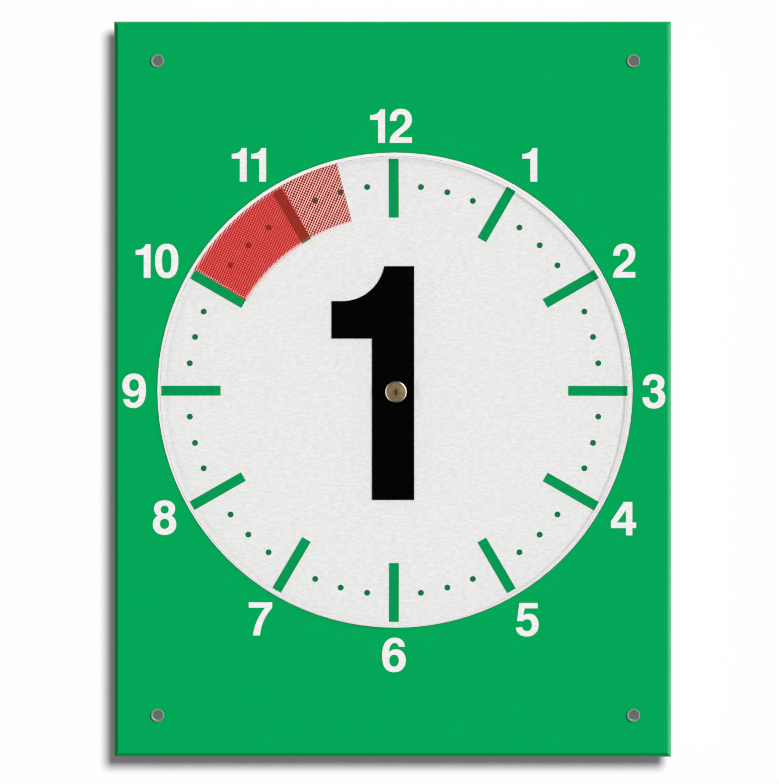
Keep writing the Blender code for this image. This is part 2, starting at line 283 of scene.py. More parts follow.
class Surface:
    """A material with one Principled shader, and short names for the nodes that feed it."""

    def __init__(self, name, base, roughness, metallic=0.0, specular=0.5):
        self.material = bpy.data.materials.new(name)
        self.material.use_nodes = True
        self.tree = self.material.node_tree
        self.shader = self.tree.nodes["Principled BSDF"]
        self.output = self.tree.nodes["Material Output"]
        self.set("Base Color", base)
        self.set("Roughness", roughness)
        self.set("Metallic", metallic)
        self.set("Specular IOR Level", specular)

    def set(self, socket, value):
        """A number or colour goes on the shader's own socket, and what a node gives is linked to it."""
        if isinstance(value, bpy.types.NodeSocket):
            self.tree.links.new(value, self.shader.inputs[socket])
        else:
            self.shader.inputs[socket].default_value = value

    def node(self, kind, output=0, settings=None, **inputs):
        """A new node's output, with each input set by its name, or by its number as in_0."""
        made = self.tree.nodes.new(kind)
        for key, value in (settings or {}).items():
            setattr(made, key, value)
        for key, value in inputs.items():
            socket = made.inputs[int(key[3:]) if key.startswith("in_") else key.replace("_", " ").title()]
            if isinstance(value, bpy.types.NodeSocket):
                self.tree.links.new(value, socket)
            else:
                socket.default_value = value
        return made.outputs[output]

    def place(self):
        """Points of the piece in its own coordinates, in metres."""
        return self.node("ShaderNodeTexCoord", "Object")

    def coordinates(self):
        """The X, Y and Z of those points, by name."""
        return self.node("ShaderNodeSeparateXYZ", vector=self.place()).node.outputs

    def radius(self, across, up):
        """How far a point is from the axis that across and up are measured from."""
        flat = self.node("ShaderNodeCombineXYZ", in_0=across, in_1=up)
        return self.node("ShaderNodeVectorMath", "Value", {"operation": "LENGTH"}, in_0=flat)

    def along(self, direction):
        """How far a point is along a direction, times the direction's length."""
        settings = {"operation": "DOT_PRODUCT"}
        return self.node("ShaderNodeVectorMath", "Value", settings, in_0=self.place(), in_1=direction)

    def math(self, operation, first, second=0.0):
        return self.node("ShaderNodeMath", settings={"operation": operation}, in_0=first, in_1=second)

    def span(self, value, low, high, to_low, to_high, smooth=False):
        """The value's part between low and high, spread from to_low to to_high."""
        settings = {"interpolation_type": "SMOOTHSTEP" if smooth else "LINEAR"}
        ends = {"in_1": low, "in_2": high, "in_3": to_low, "in_4": to_high}
        return self.node("ShaderNodeMapRange", settings=settings, in_0=value, **ends)

    def noise(self, size, detail=2.0, roughness=0.5, where=None):
        """Soft noise from about 0.3 to 0.7, with features of a size in metres."""
        texture = {"scale": 1 / size, "detail": detail, "roughness": roughness}
        return self.node("ShaderNodeTexNoise", "Fac", vector=where or self.place(), **texture)

    def patches(self, size, low=0.3, high=0.7, **texture):
        """Soft noise spread from 0 to 1."""
        return self.span(self.noise(size, **texture), low, high, 0.0, 1.0)

    def between(self, share, first, second):
        """A number between two, by share."""
        return self.node("ShaderNodeMix", in_0=share, in_2=first, in_3=second)

    def mix(self, share, first, second, blend="MIX"):
        """A colour between two, by share."""
        settings = {"data_type": "RGBA", "blend_type": blend}
        return self.node("ShaderNodeMix", 2, settings, in_0=share, in_6=first, in_7=second)

    def tinted(self, first, second):
        """One colour times another."""
        return self.mix(1.0, first, second, "MULTIPLY")

    def bump(self, height, strength, distance):
        normal = self.node("ShaderNodeBump", strength=strength, distance=distance, height=height)
        self.set("Normal", normal)


def arc(centre, radius, start, end, steps):
    """Points on an arc from one angle to another, in degrees anticlockwise from the right."""
    points = []
    for step in range(steps + 1):
        angle = math.radians(start + (end - start) * step / steps)
        points.append((centre[0] + radius * math.cos(angle), centre[1] + radius * math.sin(angle)))
    return points


def bezier(start, first, second, end, steps):
    """Points along a curve, without its start."""
    points = []
    for step in range(1, steps + 1):
        t = step / steps
        weights = ((1 - t) ** 3, 3 * t * (1 - t) ** 2, 3 * t * t * (1 - t), t**3)
        corners = (start, first, second, end)
        points.append(tuple(sum(w * c[axis] for w, c in zip(weights, corners)) for axis in (0, 1)))
    return points


def stand(piece, place, body, surface):
    """Stand a piece that was drawn face up at its place on the board, and hang it on its body."""
    piece.rotation_euler = UPRIGHT
    piece.location = (place[0], 0.0, place[1])
    bpy.context.scene.collection.objects.link(piece)
    piece.data.materials.clear()
    piece.data.materials.append(surface)
    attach(piece, body)
    return piece


def flat_piece(name, outlines, back, front, place, body, surface):
    """A flat piece with closed outlines, from a back to a front height out of the wall."""
    curve = bpy.data.curves.new(name, "CURVE")
    curve.dimensions = "2D"
    curve.fill_mode = "BOTH"
    curve.extrude = (front - back) / 2
    for outline in outlines:
        spline = curve.splines.new("POLY")
        spline.points.add(len(outline) - 1)
        for point, (x, y) in zip(spline.points, outline):
            point.co = (x, y, 0.0, 1.0)
        spline.use_cyclic_u = True
    holder = bpy.data.objects.new(name, curve)
    mesh = bpy.data.meshes.new_from_object(holder)
    bpy.data.objects.remove(holder)
    bpy.data.curves.remove(curve)
    middle = (front + back) / 2
    for vert in mesh.vertices:
        vert.co.z += middle
    mesh.name = name
    piece = bpy.data.objects.new(name, mesh)
    return stand(piece, place, body, surface)


def turned_piece(name, profile, steps, place, body, surface, ring):
    """A piece turned about its axis out of the wall, from (radius, height) points.

    A ring has a hole on its axis, and its last point joins its first.
    """
    bm = bmesh.new()
    rings = []
    for radius, height in profile:
        angles = [math.tau * i / steps for i in range(steps if radius > 1e-7 else 1)]
        points = [(radius * math.cos(angle), radius * math.sin(angle), height) for angle in angles]
        rings.append([bm.verts.new(point) for point in points])
    pairs = list(zip(rings, rings[1:]))
    if ring:
        pairs.append((rings[-1], rings[0]))
    for upper, lower in pairs:
        for i in range(steps):
            j = (i + 1) % steps
            if len(upper) == 1:
                bm.faces.new((upper[0], lower[i], lower[j]))
            elif len(lower) == 1:
                bm.faces.new((upper[i], lower[0], upper[j]))
            else:
                bm.faces.new((upper[i], lower[i], lower[j], upper[j]))
    bmesh.ops.recalc_face_normals(bm, faces=bm.faces)
    mesh = bpy.data.meshes.new(name)
    bm.to_mesh(mesh)
    bm.free()
    mesh.shade_smooth()
    mesh.set_sharp_from_angle(angle=math.radians(40))
    piece = bpy.data.objects.new(name, mesh)
    return stand(piece, place, body, surface)


# The board. Its rounded edge has a painted highlight on the right and painted shade on the left. Each reach
# says how far from the board's side that colour is full, and how far from it the colour starts.
BOARD_GREEN = colour(0, 168, 88)
EDGE_WIDTH = 2.2 * MM
EDGE_BLEND = 0.3 * MM
EDGE_PAINTED_HIGHLIGHT = colour(80, 170, 125)
HIGHLIGHT_REACH = (0.3 * EDGE_WIDTH, 0.9 * EDGE_WIDTH)
EDGE_PAINTED_SHADE = colour(0, 150, 78)
SHADE_REACH = (0.6 * EDGE_WIDTH, EDGE_WIDTH)


def board_green():
    """Green plastic, coloured through: faint clouds in the colour and a fine moulded grain."""
    made = Surface("board_green", BOARD_GREEN, 0.2, specular=0.3)
    place = made.coordinates()
    edge_back = EDGE_WIDTH - BOARD_FACE
    rounded = made.span(place["Y"], edge_back, edge_back + EDGE_BLEND, 1.0, 0.0)
    full, start = HIGHLIGHT_REACH
    right = made.span(place["X"], cad_high.x - start, cad_high.x - full, 0.0, 1.0, smooth=True)
    full, start = SHADE_REACH
    left = made.span(place["X"], cad_low.x + full, cad_low.x + start, 1.0, 0.0, smooth=True)
    clouds = made.patches(14 * MM, detail=3.0)
    ground = made.mix(clouds, shade(BOARD_GREEN, 0.985), shade(BOARD_GREEN, 1.015))
    # Painted highlight along the right side of the rounded edge
    ground = made.mix(made.math("MULTIPLY", right, rounded), ground, EDGE_PAINTED_HIGHLIGHT)
    # Painted shade along the left side of the rounded edge
    ground = made.mix(made.math("MULTIPLY", left, rounded), ground, EDGE_PAINTED_SHADE)
    made.set("Base Color", ground)
    grain = made.noise(0.6 * MM, detail=3.0)
    made.set("Roughness", made.span(grain, 0.3, 0.7, 0.16, 0.22))
    made.bump(grain, 0.15, 0.01 * MM)
    return made.material


# The print, whose bars and dots stand on circles slightly wider than high
PRINT_THICKNESS = 0.1 * MM
PRINT_STRETCH = (1.0033, 0.9965)
BAR_CENTRE = (-0.6 * MM, -179.14 * MM)
BAR_INNER = 94.3 * MM
BAR_OUTER = 126.4 * MM
BAR_WIDTH = 5.35 * MM
DOT_CENTRE = (-0.72 * MM, -178.92 * MM)
DOT_RADIUS = 1.58 * MM
DOT_CIRCLE = 111.7 * MM
DOTS_BETWEEN_HOURS = 3
DOT_STEPS = 32
DIGIT_HEIGHT = 18.3 * MM
DIGIT_GAP = 13.3
CURVE_STEPS = 12

# The hour bars from 12 to 11, which the print doesn't space quite evenly: each has its clock angle, and how
# far out it is moved, in millimetres
BAR_PLACES = (
    (-0.15, 0.0), (30, 0.6), (59.9, 0.27), (90.15, 0.0), (120, 0.2), (149.85, 0.2),
    (180.1, 0.0), (210.3, 0.0), (240.1, 0.1), (269.9, -0.1), (300.1, 0.0), (329.7, 0.0),
)

# The middle of each hour number, in millimetres from the centre of the four fixing holes
HOUR_NUMBER_PLACES = {
    "12": (-2.4, 142.6),
    "1": (73.1, 121.5),
    "2": (124.4, 69.3),
    "3": (140.6, -1.7),
    "4": (124.1, -70.9),
    "5": (71.7, -125.7),
    "6": (-0.8, -145.1),
    "7": (-73.4, -125.4),
    "8": (-125.6, -70.4),
    "9": (-142.1, -1.4),
    "10": (-129.7, 69.2),
    "11": (-79.7, 121.5),
}

# White print: how much its mottle is drawn out across, its hardly tinted patches, and its specks of dust
PAPER_STRETCH = (0.4, 1.0, 1.0)
PAPER_ROSY = (0.98, 0.952, 0.955, 1.0)
PAPER_FRESH = (0.95, 0.97, 0.96, 1.0)
SPECK_SPACING = 26 * MM
SPECK_GREY = colour(120, 105, 100)


def printed_paper(name, base):
    """White print: mottled, with faint streaks across it, tinted patches and a few specks of dust."""
    made = Surface(name, base, 0.55, specular=0.08)
    settings = {"operation": "MULTIPLY"}
    across = made.node("ShaderNodeVectorMath", 0, settings, in_0=made.place(), in_1=PAPER_STRETCH)
    mottle = made.patches(1.2 * MM, detail=4.0, roughness=0.8, where=across)
    ground = made.mix(mottle, shade(base, 0.865), shade(base, 1.08))
    tint = made.mix(made.patches(3.5 * MM, low=0.35, high=0.65), PAPER_ROSY, PAPER_FRESH)
    cells = made.node("ShaderNodeTexVoronoi", "Distance", vector=made.place(), scale=1 / SPECK_SPACING)
    specks = made.span(cells, 0.012, 0.022, 0.5, 0.0, smooth=True)
    made.set("Base Color", made.tinted(made.mix(specks, ground, SPECK_GREY), tint))
    made.bump(mottle, 0.2, 0.02 * MM)
    return made.material


def print_green(name, base):
    """Green ink on the dial, a little uneven."""
    made = Surface(name, base, 0.5, specular=0.06)
    patches = made.patches(2.5 * MM, detail=3.0)
    made.set("Base Color", made.mix(patches, shade(base, 0.95), shade(base, 1.04)))
    return made.material


def print_point(radius, degrees):
    """The point of the print at a clock angle, clockwise from the top."""
    angle = math.radians(degrees)
    return (radius * math.sin(angle) * PRINT_STRETCH[0], radius * math.cos(angle) * PRINT_STRETCH[1])


def raised_print(name, outlines, place, surface):
    top = BOARD_FACE + PRINT_THICKNESS
    return flat_piece(name, outlines, BOARD_FACE, top, place, "board", surface)


def hour_bars(surface):
    outlines = []
    for degrees, out in BAR_PLACES:
        angle = math.radians(degrees)
        across = (math.cos(angle) * BAR_WIDTH / 2, -math.sin(angle) * BAR_WIDTH / 2)
        corners = []
        for radius, side in ((BAR_INNER, -1), (BAR_OUTER, -1), (BAR_OUTER, 1), (BAR_INNER, 1)):
            centre = print_point(radius + out * MM, degrees)
            corners.append((centre[0] + across[0] * side, centre[1] + across[1] * side))
        outlines.append(corners)
    raised_print("hour_bars", outlines, BAR_CENTRE, surface)


def quarter_dots(surface):
    outlines = []
    per_hour = DOTS_BETWEEN_HOURS + 1
    for index in range(12 * per_hour):
        if index % per_hour:
            centre = print_point(DOT_CIRCLE, 360 * index / (12 * per_hour))
            outlines.append(arc(centre, DOT_RADIUS, 0, 360, DOT_STEPS)[:-1])
    raised_print("quarter_dots", outlines, DOT_CENTRE, surface)


def traced(outline):
    """The points of one digit outline, with its curves cut into short lines."""
    points = [outline[0]]
    for step in outline[1:]:
        if len(step) == 2:
            points.append(step)
        else:
            points += bezier(points[-1], step[0:2], step[2:4], step[4:6], CURVE_STEPS)
    if math.dist(points[0], points[-1]) < 0.01:
        points.pop()
    return points


def hour_numbers(surface):
    """The plain numbers from 1 to 12 round the dial."""
    unit = DIGIT_HEIGHT / 100
    for text, (x, y) in HOUR_NUMBER_PLACES.items():
        outlines = []
        left = 0.0
        for digit in text:
            traces = [traced(outline) for outline in DIGITS[digit]]
            width = max(point[0] for trace in traces for point in trace)
            outlines += [[(left + px, py) for px, py in trace] for trace in traces]
            left += width + DIGIT_GAP
        middle = (left - DIGIT_GAP) / 2
        drawn = [[((px - middle) * unit, (py - 50) * unit) for px, py in trace] for trace in outlines]
        place = (x * MM, HOLES_CENTRE_HEIGHT + y * MM)
        raised_print(f"hour_number_{text}", drawn, place, surface)


# The court number, as the node it stands for, laid on the dial, with a hole for the disc's spacer
NUMBER_THICKNESS = 0.3 * MM
STEM_WIDTH = 22.9 * MM
FLAG_BOTTOM = 87.8 * MM
FLAG_TOP = 108.2 * MM
FLAG_ARC_RADIUS = 23.4 * MM
FLAG_ARC_CENTRE = -16.3 * MM
FLAG_ARC_STEPS = 24
SPACER_HOLE = 5.3 * MM
SPACER_HOLE_STEPS = 48
NUMBER_BLACK = (0.0004, 0.0004, 0.0004, 1.0)
NUMBER_DUST = (0.012, 0.012, 0.014, 1.0)


def number_black():
    """Black stick-on film with faint grey dust."""
    made = Surface("number_black", NUMBER_BLACK, 0.4, specular=0.02)
    dust = made.span(made.noise(0.9 * MM), 0.6, 0.74, 0.0, 1.0, smooth=True)
    made.set("Base Color", made.mix(dust, NUMBER_BLACK, NUMBER_DUST))
    return made.material


def court_number(surface):
    low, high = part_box("court_number")
    height = high.z - low.z
    reach = high.x - low.x - STEM_WIDTH
    arc_centre = (FLAG_ARC_CENTRE, FLAG_TOP + FLAG_ARC_RADIUS)
    arc_end = -math.degrees(math.asin((arc_centre[1] - height) / FLAG_ARC_RADIUS))
    outline = [(STEM_WIDTH, height), (STEM_WIDTH, 0.0), (0.0, 0.0), (0.0, FLAG_BOTTOM)]
    outline += [(-reach, FLAG_BOTTOM), (-reach, FLAG_TOP)]
    outline += arc(arc_centre, FLAG_ARC_RADIUS, -90.0, arc_end, FLAG_ARC_STEPS)
    corner = (low.x + reach, low.z)
    hole_centre = (PIVOT[0] - corner[0], PIVOT[1] - corner[1])
    hole = arc(hole_centre, SPACER_HOLE, 0, 360, SPACER_HOLE_STEPS)[:-1]
    top = BOARD_FACE + NUMBER_THICKNESS
    piece = flat_piece(
        "stick_on_number", [outline, hole], BOARD_FACE, top, corner, "board", surface
    )
    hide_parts("court_number")


# The disc: its cut edge, and how much of the view and of a lamp's light that stops, and how much the disc's
# faces mirror when seen head on
DISC_RADIUS = radius_of("time_disc")
FROST_WIDTH = 0.19 * MM
FROST_COLOUR = (0.55, 0.57, 0.56, 1.0)
FROST_COVER = 0.45
FROST_SHADOW = 0.77
HEAD_ON_MIRROR = 0.03


def disc_clear():
    """Clear plastic: it mirrors more at a slant, and its cut edge is frosted, which lamps shine into."""
    made = Surface("disc_clear", WHITE, 0.04, metallic=1.0)
    smudges = made.noise(22 * MM, detail=3.0, roughness=0.6)
    made.set("Roughness", made.span(smudges, 0.35, 0.7, 0.03, 0.09))
    place = made.coordinates()
    across = made.math("SUBTRACT", place["X"], PIVOT[0])
    up = made.math("SUBTRACT", place["Z"], PIVOT[1])
    edge = made.math("GREATER_THAN", made.radius(across, up), DISC_RADIUS - FROST_WIDTH)
    made.set("Base Color", made.mix(edge, WHITE, FROST_COLOUR))
    shadow = made.node("ShaderNodeLightPath", "Is Shadow Ray")
    inside = made.node("ShaderNodeNewGeometry", "Backfacing")
    frosted = made.between(shadow, FROST_COVER, made.math("MULTIPLY", inside, FROST_SHADOW))
    slant = made.math("POWER", made.node("ShaderNodeLayerWeight", "Facing"), 5.0)
    face = made.between(slant, HEAD_ON_MIRROR, 1.0)
    made.set("Alpha", made.between(edge, face, frosted))
    return made.material


# The time mark, as the two nodes that it stands for, laid on the disc. Its angles are clock angles.
FILM_THICKNESS = 0.15 * MM
FILM_LIFT = 0.01 * MM
FILM_INNER = 94.4 * MM
SCREEN_INNER = 96.1 * MM
FILM_OUTER = 128.38 * MM
MARK_START = -58.75
MARK_SEAM = -29.0
MARK_END = -14.5
FINE_WAVE_TURN = 2.1
RIM_TINT = (1.0, 0.75, 0.7, 1.0)
# Painted pink shadow of the red film on the dial, along the inside of the screen's inner edge
FILM_SHADOW_PINK = (0.93, 0.62, 0.58, 1.0)


def dot_screen(made, screen, cover):
    """The ink at each point of a screen of dots, from 0 to 1.

    Screen has the period of a strong row of waves, its turn in degrees, and the weight of a second row across
    it. Then it has the share of the period and the weight of a finer wave in each row, whose beat makes the
    slow check pattern. Cover is where the sum of waves has no ink and where it has all.
    """
    period, turn, cross, finer, weight = screen

    def waves(spacing, degrees):
        right = math.cos(math.radians(degrees)) * math.tau / spacing
        up = math.sin(math.radians(degrees)) * math.tau / spacing
        first = made.math("COSINE", made.along((right, up, 0.0)))
        second = made.math("COSINE", made.along((-up, right, 0.0)))
        return made.math("ADD", first, made.math("MULTIPLY", second, cross))

    fine = waves(period * finer, turn - FINE_WAVE_TURN)
    total = made.math("ADD", waves(period, turn), made.math("MULTIPLY", fine, weight))
    return made.span(total, cover[0], cover[1], 0.0, 1.0)


def rim_paled(made, tint, radius, inner, rim):
    """The tint made paler along the film's round edges and its starting edge."""
    width, start = rim
    outer = made.math("SUBTRACT", FILM_OUTER, radius)
    angle = math.radians(start)
    from_start = made.along((math.cos(angle), -math.sin(angle), 0.0))
    nearest = made.math("MINIMUM", outer, from_start)
    nearest = made.math("MINIMUM", made.math("MULTIPLY", inner, 2.0), nearest)
    return made.mix(made.span(nearest, 0.4 * width, width, 0.0, 1.0, smooth=True), RIM_TINT, tint)


def film(name, screen, cover, gap, dot, shadow_reach, rim=None):
    """A clear film printed with a screen of red dots, which partly hides the dial and partly tints it.

    Gap and dot each have the share of light that the ink throws back, the ink's colour, and the tint of what
    gets through. The argument after dot is how far a painted pink shadow of the red film on the dial fades
    out inside the screen's inner edge. Rim, where there is one, has the width of the edge where the gaps are
    paler, and the clock angle of the edge that it starts from.
    Only the film's front is printed.
    """
    made = Surface(name, gap[1], 0.35, specular=0.15)
    place = made.coordinates()
    radius = made.radius(place["X"], place["Y"])
    inner = made.math("SUBTRACT", radius, SCREEN_INNER)
    printed = made.math("GREATER_THAN", inner, 0.0)
    ink = made.math("MULTIPLY", dot_screen(made, screen, cover), printed)
    made.set("Base Color", made.mix(ink, gap[1], dot[1]))

    pale = rim_paled(made, gap[2], radius, inner, rim) if rim else gap[2]
    left = [made.math("POWER", dark / clear, ink) for clear, dark in zip(gap[2][:3], dot[2][:3])]
    by_depth = made.node("ShaderNodeCombineColor", in_0=left[0], in_1=left[1], in_2=left[2])
    # Painted pink shadow of the film on the dial: full at the screen's inner edge, fading out towards the
    # film's inner edge
    painted_shadow = made.mix(made.span(inner, -shadow_reach, 0.0, 0.0, 1.0), WHITE, FILM_SHADOW_PINK)
    tint = made.mix(printed, painted_shadow, made.tinted(by_depth, pale))
    share = made.math("MULTIPLY", printed, made.span(ink, 0.0, 1.0, gap[0], dot[0]))
    behind = made.node("ShaderNodeNewGeometry", "Backfacing")
    glass = made.node("ShaderNodeBsdfTransparent", color=made.mix(behind, tint, WHITE))
    share = made.math("MULTIPLY", share, made.math("SUBTRACT", 1.0, behind))
    blend = made.node("ShaderNodeMixShader", in_0=share, in_1=glass, in_2=made.shader.outputs[0])
    made.tree.links.new(blend, made.output.inputs["Surface"])
    return made.material


def time_film(name, node, start, end, surface):
    steps = round(abs(end - start))
    outline = arc((0, 0), FILM_OUTER, 90 - start, 90 - end, steps)
    outline += arc((0, 0), FILM_INNER, 90 - end, 90 - start, steps)
    top = DISC_FRONT + FILM_THICKNESS
    piece = flat_piece(name, [outline], DISC_FRONT + FILM_LIFT, top, PIVOT, "disc", surface)
    piece.visible_shadow = False
    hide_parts(node)


# The rivet, turned as its node is: a domed head with a fine groove inside a rounded rim and a stretched
# dimple, a shank, and a tail rolled over round a bore
HEAD_RADIUS = 5.85 * MM
HEAD_TOP = -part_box("pivot_rivet")[0].y
HEAD_UNDERSIDE = HEAD_TOP - 2 * MM
HEAD_EDGE = 0.3 * MM
RIM_TOP = HEAD_TOP - 0.28 * MM
RIM_ROUND = 0.6 * MM
GROOVE_RADIUS = 4.75 * MM
GROOVE_DEPTH = 0.12 * MM
GROOVE_WALL = 0.12 * MM
DOME_RADIUS = GROOVE_RADIUS - 0.1 * MM
DOME_FALL = 0.18 * MM
DOME_STEPS = 18
DIMPLE_HALF_WIDTH = 1.0 * MM
DIMPLE_HALF_HEIGHT = 1.9 * MM
DIMPLE_DEPTH = 0.14 * MM
DIMPLE_DROP = 0.3 * MM
SHANK_RADIUS = 3 * MM
TAIL_BACK = -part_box("pivot_rivet")[1].y
TAIL_RADIUS = 4.2 * MM
TAIL_THICKNESS = 0.4 * MM
TAIL_EDGE = 0.2 * MM
TAIL_BORE = 2.2 * MM
TAIL_BORE_DEPTH = 3 * MM
TAIL_BORE_POINT = 0.5 * MM
TAIL_BORE_EDGE = 0.35 * MM
RIVET_STEPS = 96
BRASS = (0.52, 0.39, 0.20, 1.0)
BRASS_RUBBED = (0.92, 0.80, 0.60, 1.0)
# Painted shade in the rivet's dimple
BRASS_DIMPLE_SHADE = (0.08, 0.045, 0.012, 1.0)


def brass():
    """Dulled brass: brown patches on the face, a rim rubbed bright, and painted shade where the dimple is."""
    made = Surface("rivet_brass", BRASS, 0.4, metallic=1.0)
    patches = made.patches(1.3 * MM, low=0.32, high=0.68, detail=4.0, roughness=0.6)
    ground = made.mix(patches, shade(BRASS, 0.8), shade(BRASS, 1.12))
    place = made.coordinates()
    radius = made.radius(place["X"], place["Y"])
    rubbed = made.span(radius, GROOVE_RADIUS, GROOVE_RADIUS + 0.3 * MM, 0.0, 1.0, smooth=True)
    wide = made.math("POWER", made.math("DIVIDE", place["X"], DIMPLE_HALF_WIDTH), 2.0)
    lower = made.math("ADD", place["Y"], DIMPLE_DROP)
    tall = made.math("POWER", made.math("DIVIDE", lower, DIMPLE_HALF_HEIGHT), 2.0)
    # Painted shade in the dimple, kept to the head
    dimple_shade = made.span(made.math("ADD", wide, tall), 0.0, 1.7, 0.9, 0.0, smooth=True)
    dimple_shade = made.math("MULTIPLY", dimple_shade, made.math("GREATER_THAN", place["Z"], DISC_FRONT))
    made.set("Base Color", made.mix(dimple_shade, made.mix(rubbed, ground, BRASS_RUBBED), BRASS_DIMPLE_SHADE))
    worn = made.span(patches, 0.0, 1.0, 0.36, 0.46)
    made.set("Roughness", made.between(rubbed, worn, 0.28))
    made.bump(patches, 0.2, 0.03 * MM)
    return made.material


def pivot_rivet(surface):
    profile = []
    for step in range(DOME_STEPS + 1):
        radius = DOME_RADIUS * step / DOME_STEPS
        profile.append((radius, HEAD_TOP - DOME_FALL * (radius / GROOVE_RADIUS) ** 2))
    profile.append((GROOVE_RADIUS, HEAD_TOP - DOME_FALL - GROOVE_DEPTH))
    profile.append((GROOVE_RADIUS + GROOVE_WALL, RIM_TOP))
    profile += arc((HEAD_RADIUS - RIM_ROUND, RIM_TOP - RIM_ROUND), RIM_ROUND, 90, 0, 10)
    profile += arc((HEAD_RADIUS - HEAD_EDGE, HEAD_UNDERSIDE + HEAD_EDGE), HEAD_EDGE, 0, -90, 5)
    profile += [(SHANK_RADIUS, HEAD_UNDERSIDE), (SHANK_RADIUS, TAIL_BACK + TAIL_THICKNESS)]
    profile += arc((TAIL_RADIUS - TAIL_EDGE, TAIL_BACK + TAIL_EDGE), TAIL_EDGE, 90, -90, 8)
    profile += arc((TAIL_BORE + TAIL_BORE_EDGE, TAIL_BACK + TAIL_BORE_EDGE), TAIL_BORE_EDGE, -90, -180, 6)
    bore_end = TAIL_BACK + TAIL_BORE_DEPTH
    profile += [(TAIL_BORE, bore_end), (0.0, bore_end + TAIL_BORE_POINT)]
    piece = turned_piece(
        "brass_rivet", profile, RIVET_STEPS, PIVOT, "board", surface, ring=False
    )
    for vert in piece.data.vertices:
        x, y, z = vert.co
        if z > HEAD_TOP - 0.5 * MM:
            off = (x / DIMPLE_HALF_WIDTH) ** 2 + ((y + DIMPLE_DROP) / DIMPLE_HALF_HEIGHT) ** 2
            vert.co.z -= DIMPLE_DEPTH * math.exp(-off)
    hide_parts("pivot_rivet")


# The eyelets, each turned as its node is, with a rolled flange that lies on the board and a flared back
EYELET_BORE = 2.5 * MM
EYELET_BARREL = 2.85 * MM
EYELET_FLANGE = 3.62 * MM
EYELET_FLANGE_FOOT = EYELET_FLANGE - 0.05 * MM
EYELET_FLARE = 3.9 * MM
EYELET_METAL = 0.4 * MM
FLARE_ROUND = 0.2 * MM
BACK_ROUND = 0.5 * MM
FRONT_ROUND = 0.6 * MM
EYELET_STEPS = 64
CONTACT_GAP = 0.3 * MM


def eyelet(corner, surface):
    node = f"eyelet_{corner}"
    low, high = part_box(node)
    front = -low.y - CONTACT_GAP
    back = -high.y
    crown = (front - BOARD_FACE) / 2
    profile = arc((EYELET_FLANGE - crown, BOARD_FACE + crown), crown, 0, 90, 8)[::-1]
    profile += [(EYELET_FLANGE_FOOT, BOARD_FACE), (EYELET_BARREL, BOARD_FACE)]
    profile += [(EYELET_BARREL, back + EYELET_METAL)]
    profile += arc((EYELET_FLARE - FLARE_ROUND, back + FLARE_ROUND), FLARE_ROUND, 90, -90, 8)
    profile += arc((EYELET_BORE + BACK_ROUND, back + BACK_ROUND), BACK_ROUND, -90, -180, 6)
    profile += arc((EYELET_BORE + FRONT_ROUND, front - FRONT_ROUND), FRONT_ROUND, 180, 90, 8)
    name = f"rolled_{node}"
    place = centre_of(node)
    piece = turned_piece(name, profile, EYELET_STEPS, place, "board", surface, ring=True)
    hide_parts(node)


def dull_metal(name, base, roughness, scale, metallic=1.0):
    """Weathered plated metal, with blurred spots and a little roughness in them."""
    made = Surface(name, base, roughness, metallic=metallic, specular=0.2)
    spots = made.patches(scale, low=0.32, high=0.68, detail=4.0, roughness=0.65)
    made.set("Base Color", made.mix(spots, shade(base, 0.78), shade(base, 1.08)))
    made.set("Roughness", made.span(spots, 0.0, 1.0, roughness + 0.08, roughness - 0.06))
    made.bump(spots, 0.15, 0.02 * MM)
    return made.material


def nylon():
    base = colour(225, 222, 212)
    made = Surface("washer_nylon", base, 0.45, specular=0.4)
    made.set("Base Color", made.mix(made.patches(1.5 * MM, detail=3.0), shade(base, 0.94), base))
    made.set("Subsurface Weight", 0.1)
    return made.material


def finish_nodes(finishes):
    """Give each CAD node that still shows its own surface."""
    for node, surface in finishes.items():
        piece = frame["nodes"][node]
        piece.data.materials.clear()
        piece.data.materials.append(surface)


# The stage: a white wall just behind the board, and a pale floor below it. Each throws back a share of the
# light, and glows a little for the camera.
STAGE_SHARE = 0.85
WALL_GAP = 13 * MM
WALL_GLOW = (0.094, 0.06, 0.088, 1.0)
WALL_WIDTH = 4.0
WALL_HEIGHT = 3.0
FLOOR_DROP = 60 * MM
FLOOR_GLOW = (0.3, 0.3, 0.3, 1.0)


def stage_material(name, glow):
    """A matt backdrop with a little light of its own for the camera. It is clear from its rear."""
    made = bpy.data.materials.new(name)
    made.use_nodes = True
    tree = made.node_tree
    tree.nodes.clear()
    output = tree.nodes.new("ShaderNodeOutputMaterial")
    matt = tree.nodes.new("ShaderNodeBsdfDiffuse")
    matt.inputs["Color"].default_value = (STAGE_SHARE, STAGE_SHARE, STAGE_SHARE, 1.0)
    light = tree.nodes.new("ShaderNodeEmission")
    light.inputs["Color"].default_value = glow
    path = tree.nodes.new("ShaderNodeLightPath")
    tree.links.new(path.outputs["Is Camera Ray"], light.inputs["Strength"])
    both = tree.nodes.new("ShaderNodeAddShader")
    tree.links.new(matt.outputs[0], both.inputs[0])
    tree.links.new(light.outputs[0], both.inputs[1])
    clear = tree.nodes.new("ShaderNodeBsdfTransparent")
    facing = tree.nodes.new("ShaderNodeNewGeometry")
    choice = tree.nodes.new("ShaderNodeMixShader")
    tree.links.new(facing.outputs["Backfacing"], choice.inputs[0])
    tree.links.new(both.outputs[0], choice.inputs[1])
    tree.links.new(clear.outputs[0], choice.inputs[2])
    tree.links.new(choice.outputs[0], output.inputs["Surface"])
    return made


def stage_plane(name, corner, across, up, material):
    """A rectangle of the stage, from one corner along two sides. It lights and shades nothing else."""
    mesh = bpy.data.meshes.new(name)
    points = (corner, corner + across, corner + across + up, corner + up)
    mesh.from_pydata(points, [], [(0, 1, 2, 3)])
    mesh.materials.append(material)
    made = bpy.data.objects.new(name, mesh)
    bpy.context.scene.collection.objects.link(made)
    made.visible_diffuse = False
    made.visible_glossy = False
    made.visible_shadow = False
    return made


